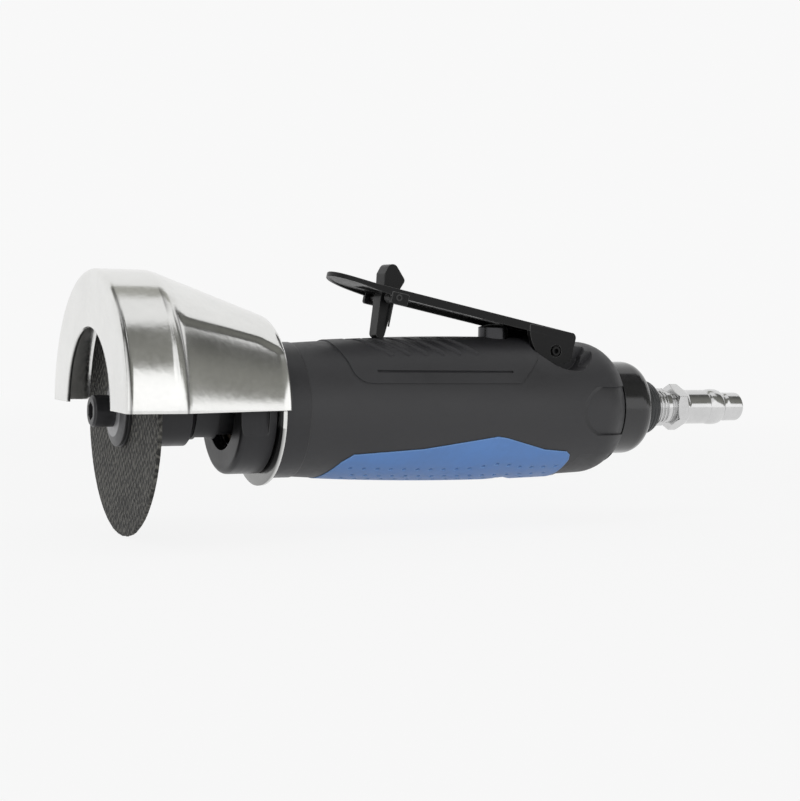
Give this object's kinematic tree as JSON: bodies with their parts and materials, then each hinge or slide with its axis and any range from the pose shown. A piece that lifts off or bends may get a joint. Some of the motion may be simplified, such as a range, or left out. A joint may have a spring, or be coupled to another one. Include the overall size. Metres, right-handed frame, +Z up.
{
  "type": "pneumatic cut-off tool",
  "caption": "Hand-held air cut-off tool: bright pressed guard over a thin cutting disc, dark moulded grip with soft insert, lock-off throttle lever and plug nipple.",
  "frame": {"origin": "on the spindle axis, at the rear face of the cutting disc where it sits on the inner flange", "axes": "+X along the spindle from the disc to the air inlet, +Z up towards the throttle lever, the disc screw faces -X"},
  "size_m": [0.2365, 0.0844, 0.0839],
  "materials": {
    "housing_metal": "black anodised",
    "grip_black": "matte moulded",
    "grip_blue": "soft matte",
    "black_steel": "black oxide",
    "inner_steel": "ground",
    "bearing_steel": "polished",
    "brass": "turned",
    "spring_steel": "drawn",
    "bushing_grey": "phosphated",
    "nickel": "bright nickel plated",
    "seal_rubber": "moulded",
    "collar_black": "gloss",
    "vane_resin": "cotton-resin laminate",
    "abrasive": "resin-bonded abrasive",
    "flange_steel": "phosphated",
    "guard_steel": "bright plated pressed sheet",
    "lever_black": "semi-gloss black",
    "plunger_steel": "dark turned"
  },
  "bodies": {
    "tool_body": {"motor_housing": "housing_metal", "grip_sleeve": "grip_black", "grip_insert": "grip_blue", "front_cap": "black_steel", "front_end_plate": "inner_steel", "cylinder_liner": "inner_steel", "liner_dowel": "inner_steel", "rear_end_plate": "inner_steel", "front_bearing_outer": "bearing_steel", "rear_bearing_outer": "bearing_steel", "valve_bush": "brass", "valve_spring": "spring_steel", "lever_pin": "spring_steel", "inlet_bushing": "bushing_grey", "inlet_screen": "brass", "air_nipple": "nickel", "nipple_washer": "seal_rubber", "rear_collar": "collar_black", "exhaust_silencer": "brass"},
    "spindle_group": {"rotor": "inner_steel", "rotor_vanes": "vane_resin", "spindle": "black_steel", "inner_flange": "black_steel", "cutting_disc": "abrasive", "outer_flange": "flange_steel", "disc_screw": "black_steel", "front_bearing_inner": "bearing_steel", "rear_bearing_inner": "bearing_steel"},
    "front_ball_set": {"front_bearing_balls": "bearing_steel", "front_bearing_cage": "brass"},
    "rear_ball_set": {"rear_bearing_balls": "bearing_steel", "rear_bearing_cage": "brass"},
    "guard_hood": {"disc_guard": "guard_steel"},
    "lever": {"throttle_lever": "lever_black", "catch_pin": "spring_steel"},
    "catch": {"lock_catch": "lever_black", "catch_spring": "spring_steel"},
    "plunger": {"throttle_plunger": "plunger_steel", "valve_plug": "brass", "valve_seal": "seal_rubber"}
  },
  "joints": [
    {"name": "spindle_spin", "type": "hinge", "parent": "tool_body", "child": "spindle_group", "pos_m": [0, 0, 0], "axis": [1, 0, 0], "continuous": true},
    {"name": "front_ball_orbit", "type": "hinge", "parent": "tool_body", "child": "front_ball_set", "pos_m": [0.0366, 0, 0], "axis": [1, 0, 0], "continuous": true},
    {"name": "rear_ball_orbit", "type": "hinge", "parent": "tool_body", "child": "rear_ball_set", "pos_m": [0.096, 0, 0], "axis": [1, 0, 0], "continuous": true},
    {"name": "guard_swivel", "type": "hinge", "parent": "tool_body", "child": "guard_hood", "pos_m": [0.0417, 0, 0], "axis": [1, 0, 0], "continuous": true},
    {"name": "throttle", "type": "hinge", "parent": "tool_body", "child": "lever", "pos_m": [0.1421, 0, 0.0194], "axis": [0, -1, 0], "range_deg": [0, 7.5], "stiffness_Nm_per_rad": 2, "springref_deg": -11.46},
    {"name": "catch_swing", "type": "hinge", "parent": "lever", "child": "catch", "pos_m": [0.08427, 0, 0.03565], "axis": [0, 1, 0], "range_deg": [0, 82.6]},
    {"name": "plunger_travel", "type": "slide", "parent": "tool_body", "child": "plunger", "axis": [0, 0, -1], "range_m": [0, 0.0023], "deforming": ["valve_spring"]}
  ],
  "couplings": [
    {"joint": "front_ball_orbit", "follows": "spindle_spin", "ratio": 0.3678},
    {"joint": "rear_ball_orbit", "follows": "spindle_spin", "ratio": 0.36},
    {"joint": "catch_swing", "follows": "throttle", "ratio": 11},
    {"joint": "plunger_travel", "follows": "throttle", "m_per_rad": 0.0172}
  ]
}
